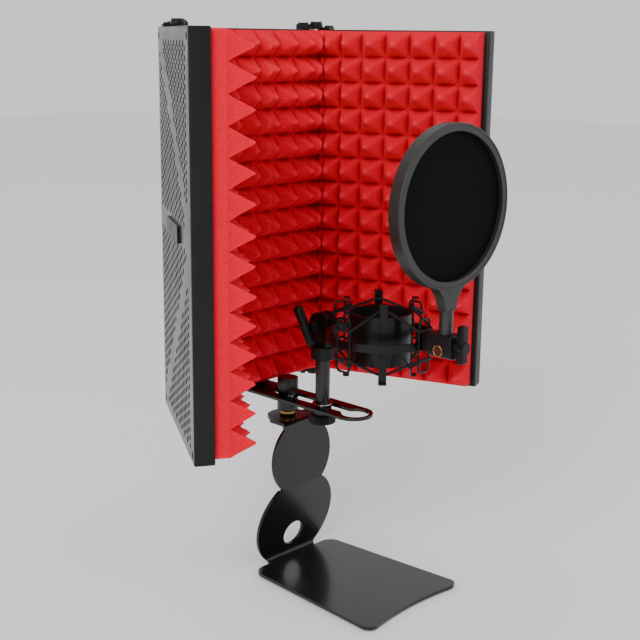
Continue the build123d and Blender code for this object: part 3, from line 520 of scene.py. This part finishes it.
def perforated_face(name, panel, u0, u1, centres, body):
    inner = [(u0 + FACE_INSET, FACE_INSET), (u1 - FACE_INSET, FACE_INSET),
             (u1 - FACE_INSET, PANEL_H - FACE_INSET), (u0 + FACE_INSET, PANEL_H - FACE_INSET)]
    points = [Vector(p) for p in inner]
    edges = [(0, 1), (1, 2), (2, 3), (3, 0)]
    sides = HOLE_SIDES
    for u, v, radius in centres:
        start = len(points)
        for k in range(sides):
            a = 2 * math.pi * k / sides
            points.append(Vector((u + radius * math.cos(a), v + radius * math.sin(a))))
            edges.append((start + k, start + (k + 1) % sides))
    flat, _, faces, *_ = delaunay_2d_cdt(points, edges, [], 1, 1e-5)
    faces = [face for face in faces if min(face) < 4 or len({(i - 4) // sides for i in face}) > 1]
    placed = place([(p.x, TRAY_DEPTH, BAR_TOP + p.y) for p in flat], panel)
    obj = make_object(name, placed, faces, face_painted_reflection, None)
    print(name, "sheet area", round(sum(p.area for p in obj.data.polygons), 4), "m2")
    face_outward(obj, panel)
    # The hole walls take the plain black paint, without the painted reflection.
    obj.data.materials.append(tray_paint)
    add_solidify(obj, SHEET)
    obj.modifiers[0].material_offset_rim = 1
    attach(obj, body)
    return obj


def tray_rim(name, panel, u0, u1, body):
    """Bend, flange and return lip, swept round the face as one sheet."""
    bend = BEND_R
    section = [(FACE_INSET, TRAY_DEPTH)]
    for k in range(5):
        a = math.pi / 2 * k / 4
        section.append((bend - bend * math.sin(a), TRAY_DEPTH - bend + bend * math.cos(a)))
    for k in range(5):
        a = math.pi / 2 * k / 4
        section.append((bend - bend * math.cos(a), bend - bend * math.sin(a)))
    section.append((LIP, 0.0))
    points = []
    for inset, depth in section:
        for u, v in ((u0 + inset, inset), (u1 - inset, inset),
                     (u1 - inset, PANEL_H - inset), (u0 + inset, PANEL_H - inset)):
            points.append((u, depth, BAR_TOP + v))
    faces = []
    for row in range(len(section) - 1):
        for k in range(4):
            a, b = 4 * row + k, 4 * row + (k + 1) % 4
            faces.append((a, b, b + 4, a + 4))
    obj = make_object(name, place(points, panel), faces, tray_paint, None)
    # The flat border of the face and the start of the bend get the painted reflection too.
    obj.data.materials.append(face_painted_reflection)
    for polygon in obj.data.polygons[:12]:
        polygon.material_index = 1
    face_outward(obj, panel)
    add_solidify(obj, SHEET)
    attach(obj, body)
    return obj


GAP = 0.6
panels = {
    "left": ("left_wing", GAP, PANEL_W, PANEL_W, GAP),
    "middle": ("shield", -PANEL_W / 2 + GAP, PANEL_W / 2 - GAP, -PANEL_W / 2, PANEL_W / 2),
    "right": ("right_wing", GAP, PANEL_W, PANEL_W, GAP),
}
for panel, (body, u0, u1, apex_u, far_u) in panels.items():
    centres = hole_centres(u0, u1, apex_u, far_u)
    face = perforated_face(f"tray_face_{panel}", panel, u0, u1, centres, body)
    rim = tray_rim(f"tray_rim_{panel}", panel, u0, u1, body)
    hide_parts(f"tray_{panel}")
    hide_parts(f"tray_{panel}")
    print(panel, "tray holes", len(centres))

# %% [markdown]
# ## Wedge foam
# One sheet of foam with square wedges lines the three panels. Towards a hinge the wedges are
# squeezed closer, the foam bulges, and it stops at the plane that halves the corner, where its
# neighbour meets it in a crease. A cloth or soft-body simulation could press it into the corner,
# but thick foam hardly drapes. So each surface is a height over its panel, which is exact,
# repeatable and quick.

# %% Foam surface
PITCH = 25.0
ROWS = 14
BASE = 13.15
PEAK = 23.4
FOAM_LOW = 3.4
FOAM_HIGH = PANEL_H - 1.4
FOAM_END = PANEL_W - 5.0
STEP = 12
ROW = (FOAM_HIGH - FOAM_LOW) / ROWS
SQUEEZE_FROM = 42.0
SQUEEZE_LOST = 13.0


def hashed(*numbers):
    """The same pseudo-random number from -1 to 1 for the same wedge."""
    return random.Random("|".join(str(n) for n in numbers)).uniform(-1, 1)


def foam_length(u):
    """Length of sheet used up between the hinge and a place u along the panel."""
    if u >= SQUEEZE_FROM:
        return u
    return (u - SQUEEZE_LOST) * SQUEEZE_FROM / (SQUEEZE_FROM - SQUEEZE_LOST)


def place_along(length):
    if length >= SQUEEZE_FROM:
        return length
    return length * (SQUEEZE_FROM - SQUEEZE_LOST) / SQUEEZE_FROM + SQUEEZE_LOST


def wedge(s, v):
    """Height of the wedges over the foam's base at s along the sheet and v up it."""
    column = math.floor(s / PITCH + 0.5)
    row = math.floor(v / ROW)
    lean_s = 0.9 * hashed(column, row, "s")
    lean_v = 0.9 * hashed(column, row, "v")
    ds = s - column * PITCH
    dv = v - (row + 0.5) * ROW
    a = abs(ds - lean_s * (1 - abs(ds) / (PITCH / 2))) / (PITCH / 2)
    b = abs(dv - lean_v * (1 - abs(dv) / (ROW / 2))) / (ROW / 2)
    m = (a ** 9 + b ** 9) ** (1 / 9)
    m = min(1.0, m)
    tall = PEAK * (1 + 0.03 * hashed(column, row, "h"))
    height = tall * (1 - m) ** 1.06
    return min(height, tall - 1.2 + 0.35 * math.sqrt(max(0.0, height - tall + 1.2)))


def crumple(u, v, seed):
    """Low lumps in the squeezed foam beside a hinge."""
    broad = math.sin(v / 11.0 + seed) * math.sin(u / 6.0 + v / 23.0 + seed)
    lumps = broad + 0.6 * math.sin(v / 6.3 + 2 * seed)
    return lumps * math.exp(-((u / 26.0) ** 2))


def soft_min(a, b, width):
    h = max(width - abs(a - b), 0.0) / width
    return min(a, b) - h * h * width * 0.25


def foam_depth(s, u, v, fold, seed):
    """How far the foam reaches in front of the panel's lips."""
    near = math.exp(-((u / 21.0) ** 2))
    row = math.floor(v / ROW)
    fan = (v / ROW - row - 0.5) + 0.16 * near * hashed(row, seed)
    pleat = max(0.0, 1 - 2 * abs(fan))
    angle = math.atan2((v / ROW - row - 0.5) * ROW, u + 3.0)
    folds = 2.4 * math.cos(9 * angle + 2 * hashed(row, seed, "f")) * pleat ** 0.5
    squeezed = 3.0 + 8.5 * pleat - 6.0 * (1 - pleat) ** 3 + folds + 1.3 * crumple(u, v, seed)
    free = BASE + wedge(s, v) * (1 - 0.35 * near) + squeezed * near
    wall = u * math.tan((math.pi - fold) / 2)
    return max(0.4, soft_min(free, wall, 3.0) if u < 45 else free)


def sharpen(obj, border):
    """The cut line between the wedges and the sides stays crisp."""
    ring = {tuple(sorted(pair)) for pair in zip(border, border[1:] + border[:1])}
    for edge in obj.data.edges:
        if tuple(sorted(edge.vertices)) in ring:
            edge.use_edge_sharp = True


# Rings down the cut sides: depth, share of the full depth, how far the ring stands proud at the end.
SIDE_RINGS = (
    (60.0, 0.96, 0.0), (12.8, 0.90, 0.0), (12.2, 0.86, 0.4), (11.6, 0.82, 0.0), (-0.1, 1.0, 0.0),
)


def foam_piece(name, panel, lengths, to_s, to_u, fold, seed, free_end, replaced):
    """One closed piece of foam: height field, cut sides and a flat back."""
    rows = ROWS * STEP
    columns = [(max(0.0, place_along(length)), to_s(length)) for length in lengths]
    if free_end:
        columns[-1] = (FOAM_END, columns[-1][1])
    front = []
    for u, s in columns:
        line = []
        for j in range(rows + 1):
            v = j * ROW / STEP
            depth = foam_depth(s, u, v, fold, seed)
            z = FOAM_LOW + v
            z += 0.8 * math.exp(-((u / 18.0) ** 2)) * (v / (rows * ROW / STEP))
            line.append([to_u(u), -depth, BAR_TOP + z])
        front.append(line)
    across, up = len(front), rows + 1
    points = [p for line in front for p in line]
    faces = []
    for i in range(across - 1):
        for j in range(up - 1):
            a = i * up + j
            faces.append((a, a + up, a + up + 1, a + 1))
    border = [i * up for i in range(across)]
    border += [(across - 1) * up + j for j in range(1, up)]
    border += [i * up + up - 1 for i in range(across - 2, -1, -1)]
    border += [j for j in range(up - 2, 0, -1)]
    count = len(border)
    outer = list(border)
    for cut_depth, share, proud in SIDE_RINGS:
        start = len(points)
        for index in border:
            u, depth, z = points[index]
            behind = min(cut_depth, -share * depth)
            at_end = free_end and index >= (across - 1) * up
            points.append([u + (proud if at_end else 0.0), -behind, z])
        for k in range(count):
            k2 = (k + 1) % count
            faces.append((outer[k2], outer[k], start + k, start + k2))
        outer = [start + k for k in range(count)]
    faces.append(tuple(outer))
    obj = make_object(name, place(points, panel), faces, red_foam, None, 60.0)
    outward(obj)
    sharpen(obj, border)
    for cad in replaced:
        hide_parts(cad)
    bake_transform(obj)
    return obj


def sheet_lengths(first, last, phase):
    """Places along the sheet: both ends, and steps between them that keep in step with the wedges."""
    step = PITCH / STEP
    values = [first]
    k = math.ceil((first - phase) / step + 0.3)
    while phase + k * step < last - 0.3 * step:
        values.append(phase + k * step)
        k += 1
    values.append(last)
    return values


MIDDLE_SHIFT = 180.8
RIGHT_SHIFT = 357.0
zero = foam_length(0.0)
foam_left = foam_piece(
    "foam_wing_left", "left", sheet_lengths(zero, FOAM_END, FOAM_END % PITCH),
    lambda length: FOAM_END - length, lambda u: u, LEFT_FOLD, 0.7, True,
    ["foam_left"])
foam_right = foam_piece(
    "foam_wing_right", "right", sheet_lengths(zero, FOAM_END, -RIGHT_SHIFT % PITCH),
    lambda length: RIGHT_SHIFT + length, lambda u: u, RIGHT_FOLD, 2.1, True,
    ["foam_right"])
half = PANEL_W / 2
foam_mid_left = foam_piece(
    "foam_middle_left", "middle", sheet_lengths(zero, half, -MIDDLE_SHIFT % PITCH),
    lambda length: MIDDLE_SHIFT + length, lambda u: u - half, LEFT_FOLD, 1.3, False,
    ["foam_middle"])
foam_mid_right = foam_piece(
    "foam_middle_right", "middle", sheet_lengths(zero, half, (MIDDLE_SHIFT + PANEL_W) % PITCH),
    lambda length: MIDDLE_SHIFT + PANEL_W - length, lambda u: half - u, RIGHT_FOLD, 3.4, False,
    ["foam_middle"])
print("foam points", [len(o.data.vertices) for o in (foam_left, foam_mid_left, foam_mid_right, foam_right)])

# %% [markdown]
# ## Round tubes with a UV map in millimetres
# The elastic cords and the brass ring of the insert are tubes swept along a line of points. A
# curve's own bevel would give the same shape, but its UV map runs from 0 to 1 whatever the length.
# Here it runs in millimetres, so the braid has the same size everywhere.


# %% Tubes
def swept_tube(name, centres, radius, material, closed=True, sides=10):
    """Tube through points in millimetres; its UV map runs along and around it in millimetres."""
    count = len(centres)
    points = []
    tangents = []
    for i in range(count):
        before = centres[i - 1] if closed or i else centres[0]
        after = centres[(i + 1) % count] if closed or i < count - 1 else centres[-1]
        tangents.append((after - before).normalized())
    up = Vector((0, 0, 1))
    for centre, tangent in zip(centres, tangents):
        side = tangent.cross(up).normalized()
        top = side.cross(tangent)
        for k in range(sides):
            a = 2 * math.pi * k / sides
            points.append(centre + side * radius * math.cos(a) + top * radius * math.sin(a))
    faces = []
    lengths = [0.0]
    for i in range(count if closed else count - 1):
        n = (i + 1) % count
        lengths.append(lengths[-1] + (centres[n] - centres[i]).length)
        for k in range(sides):
            k2 = (k + 1) % sides
            faces.append((i * sides + k, n * sides + k, n * sides + k2, i * sides + k2))
    obj = make_object(name, points, faces, material, None, 80.0)
    outward(obj)
    uv = obj.data.uv_layers.new(name="along")
    for polygon in obj.data.polygons:
        indices = [obj.data.loops[i].vertex_index for i in polygon.loop_indices]
        rings = [i // sides for i in indices]
        turns = [i % sides for i in indices]
        for loop, ring, side_k in zip(polygon.loop_indices, rings, turns):
            along = lengths[ring]
            if max(rings) - min(rings) > 1 and ring == 0:
                along = lengths[-1]
            around = side_k
            if max(turns) - min(turns) > 1 and side_k == 0:
                around = sides
            across = around / sides * 2 * math.pi * radius
            uv.data[loop].uv = (along + across, along - across)
    return obj


# %% [markdown]
# ## Elastic cords
# Two elastic cords hang the microphone's cradle in the ring and keep knocks away from it. Each goes
# outside the two uprights of every wire loop and inside every strip of the cradle. Being stretched,
# it runs straight from one to the next, so a smooth line through a few places is enough and no
# simulation is needed. Its outer runs ride on the ring and its inner runs on the cradle.

# %% Cords
CORD_R = 1.25

QUARTER_ROUTE = (
    (-8.83, 52.31, 0.0), (-4.24, 52.31, 0.0), (4.24, 52.31, 0.0), (8.83, 52.31, 0.0),
    (9.75, 48.35, 0.13), (15.32, 24.31, 0.92), (15.88, 21.88, 1.0), (18.16, 19.60, 1.0),
    (19.60, 18.16, 1.0), (21.88, 15.88, 1.0), (24.31, 15.32, 0.92), (48.35, 9.75, 0.13),
)


def cord_route(inner_z, outer_z):
    """The four quarters of the route: x, y round the ring, and the way from outer to inner height."""
    route = []
    for k in range(4):
        a = math.radians(-90 * k)
        for x, y, share in QUARTER_ROUTE:
            rx = x * math.cos(a) - y * math.sin(a)
            ry = x * math.sin(a) + y * math.cos(a)
            route.append(Vector((rx, RING_Y + ry, outer_z + share * (inner_z - outer_z))))
    return route


def spline_points(name, route):
    """Points read from a closed NURBS line through the route."""
    curve = bpy.data.curves.new(name, "CURVE")
    curve.dimensions = "3D"
    curve.resolution_u = 6
    spline = curve.splines.new("NURBS")
    spline.points.add(len(route) - 1)
    for point, place_at in zip(spline.points, route):
        point.co = (*place_at, 1)
    spline.order_u = 3
    spline.use_cyclic_u = True
    holder = link(bpy.data.objects.new(name, curve))
    bpy.context.view_layer.update()
    mesh = bpy.data.meshes.new_from_object(holder)
    line = [v.co.copy() for v in mesh.vertices]
    bpy.data.objects.remove(holder)
    bpy.data.meshes.remove(mesh)
    return line


for name, cad, inner_z, outer_z in (
    ("upper_elastic", "upper_cord", 281.4, 267.4),
    ("lower_elastic", "lower_cord", 224.4, 241.4),
):
    line = spline_points(f"{name}_line", cord_route(inner_z, outer_z))
    elastic = swept_tube(name, line, CORD_R, braid)
    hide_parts(cad)
    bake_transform(elastic)
    length = sum((line[i] - line[i - 1]).length for i in range(len(line)))
    print(name, len(line), "points, length", round(length, 1), "mm")

# %% [markdown]
# ## Gauze of the pop filter
# Two discs of woven nylon, stretched between the rings, break up the puffs of air in speech. The
# threads are far too fine to model. Each disc is a grid in rings with a trace of slack, and a
# weave on its UV map shows the threads and lets a little light through.


# %% Gauze
FILTER_Y = -103.0
FILTER_TURN = math.radians(3)
FILTER_Z = 378.4
GAUZE_R = 68.2


def gauze_disc(name, y, radius, sag):
    rings, sides = 26, 96
    centre = Vector((0, y, FILTER_Z))
    to_post = Matrix.Translation((0, FILTER_Y, 0))
    turn = to_post @ Matrix.Rotation(-FILTER_TURN, 4, "Z") @ to_post.inverted()
    points = [centre + Vector((0, sag, 0))]
    for r in range(1, rings + 1):
        rr = radius * r / rings
        for k in range(sides):
            a = 2 * math.pi * k / sides
            slack = sag * (1 - (r / rings) ** 2) + 0.05 * math.sin(5 * a + r) * (1 - r / rings)
            points.append(centre + Vector((rr * math.cos(a), slack, rr * math.sin(a))))
    faces = [(0, 1 + k, 1 + (k + 1) % sides) for k in range(sides)]
    for r in range(rings - 1):
        for k in range(sides):
            a, b = 1 + r * sides + k, 1 + r * sides + (k + 1) % sides
            faces.append((a, a + sides, b + sides, b))
    obj = make_object(name, [turn @ p for p in points], faces, gauze, None, 80.0)
    uv = obj.data.uv_layers.new(name="weave")
    for loop in obj.data.loops:
        p = obj.data.vertices[loop.vertex_index].co * 1000
        uv.data[loop.index].uv = (p.x * 0.94 + p.z * 0.34, p.z * 0.94 - p.x * 0.34)
    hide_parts("filter_mesh")
    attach(obj, "filter")
    return obj


gauze_front = gauze_disc("gauze_front", -104.2, GAUZE_R, -0.25)
gauze_rear = gauze_disc("gauze_rear", -101.8, GAUZE_R, 0.25)
print("gauze discs", [len(o.data.polygons) for o in (gauze_front, gauze_rear)], "faces")

# %% [markdown]
# ## Knurled nuts
# Both nuts are turned by hand, so they need grip: the clamp nut under the bar has coarse flutes, and
# the hand nut on the bar has a fine straight knurl. A bump could fake the knurl, but the outline
# would stay round. A wave in the radius gives real flutes, and they taper off at the chamfers.


# %% Nuts
def fluted_nut(name, cad, material, body, radius, depth, teeth, chamfer, bore):
    low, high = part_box(cad)
    centre = (low + high) * 500
    z0, z1 = low.z * 1000, high.z * 1000
    sides = teeth * 6
    levels = [(z0, chamfer), (z0 + chamfer * 0.4, chamfer * 0.35), (z0 + chamfer, 0), (z1 - chamfer, 0),
              (z1 - chamfer * 0.4, chamfer * 0.35), (z1, chamfer)]
    points = []
    for z, inset in levels:
        for k in range(sides):
            a = 2 * math.pi * k / sides
            wave = 0.5 + 0.5 * math.cos(teeth * a)
            r = radius - inset - depth * (1 - wave) ** 1.5 * (1 if inset < chamfer else 0.3)
            points.append((centre.x + r * math.cos(a), centre.y + r * math.sin(a), z))
    faces = []
    for row in range(len(levels) - 1):
        for k in range(sides):
            a, b = row * sides + k, row * sides + (k + 1) % sides
            faces.append((a, b, b + sides, a + sides))
    rim_low = len(points)
    for z in (z0, z1):
        for k in range(sides):
            a = 2 * math.pi * k / sides
            points.append((centre.x + bore * math.cos(a), centre.y + bore * math.sin(a), z))
    last = (len(levels) - 1) * sides
    for k in range(sides):
        k2 = (k + 1) % sides
        faces.append((k2, k, rim_low + k, rim_low + k2))
        faces.append((last + k, last + k2, rim_low + sides + k2, rim_low + sides + k))
    if bore > 0.5:
        for k in range(sides):
            k2 = (k + 1) % sides
            faces.append((rim_low + k2, rim_low + k, rim_low + sides + k, rim_low + sides + k2))
    obj = make_object(name, points, faces, material, None, 30.0)
    outward(obj)
    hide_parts(cad)
    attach(obj, body)
    return obj


post_nut = fluted_nut("post_nut_fluted", "post_nut", black_plastic, "post_nut", 13.0, 0.9, 36, 0.8, 4.05)
hand_nut = fluted_nut("hand_nut_knurled", "coupling_nut", gloss_black, "hand_nut", 10.25, 0.18, 64, 0.8, 0.05)

INSERT_RIM_R = 4.7
rim_low, rim_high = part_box("clamp_insert")
rim_centre = (rim_low + rim_high) * 500
rim_line = []
for k in range(40):
    a = 2 * math.pi * k / 40
    rim_y = rim_centre.y + INSERT_RIM_R * math.cos(a)
    rim_z = rim_centre.z + INSERT_RIM_R * math.sin(a)
    rim_line.append(Vector((rim_low.x * 1000 + 0.1, rim_y, rim_z)))
insert_rim = swept_tube("insert_rim", rim_line, 0.42, brass, sides=6)
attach(insert_rim, "mount_ring")
print("nuts and rim", [o.name for o in (post_nut, hand_nut, insert_rim)])

# %% [markdown]
# ## Floor and light
# A product studio has a plain pale floor, a bright even surround, one large soft light from the
# upper left and a weaker one from the right. A black object is seen by what it reflects, so the
# surround does most of the work and the lamps only draw edges.

# %% Floor
bpy.ops.mesh.primitive_plane_add(size=12, location=(0, 0, 0))
floor = bpy.context.object
floor.name = "floor"
floor_material, floor_tree, floor_shader = principled("floor", (0.92, 0.92, 0.92), 0.7)
floor.data.materials.append(floor_material)
print("floor", tuple(floor.dimensions)[:2])

# %% Light
world = bpy.data.worlds.new("studio")
bpy.context.scene.world = world
world.use_nodes = True
world.node_tree.nodes["Background"].inputs["Color"].default_value = (1, 1, 1, 1)
world.node_tree.nodes["Background"].inputs["Strength"].default_value = 0.95


def area_light(name, at, to, size, power):
    data = bpy.data.lights.new(name, "AREA")
    data.size = size
    data.energy = power
    lamp = link(bpy.data.objects.new(name, data))
    lamp.location = at
    lamp.rotation_euler = (Vector(to) - Vector(at)).to_track_quat("-Z", "Y").to_euler()
    return lamp


area_light("key", (-1.9, -0.7, 1.6), (0, 0, 0.35), 1.0, 34.0)
area_light("fill", (1.5, -1.6, 1.0), (0, 0, 0.3), 1.4, 4.0)
print("lamps", [lamp.name for lamp in bpy.data.lights])
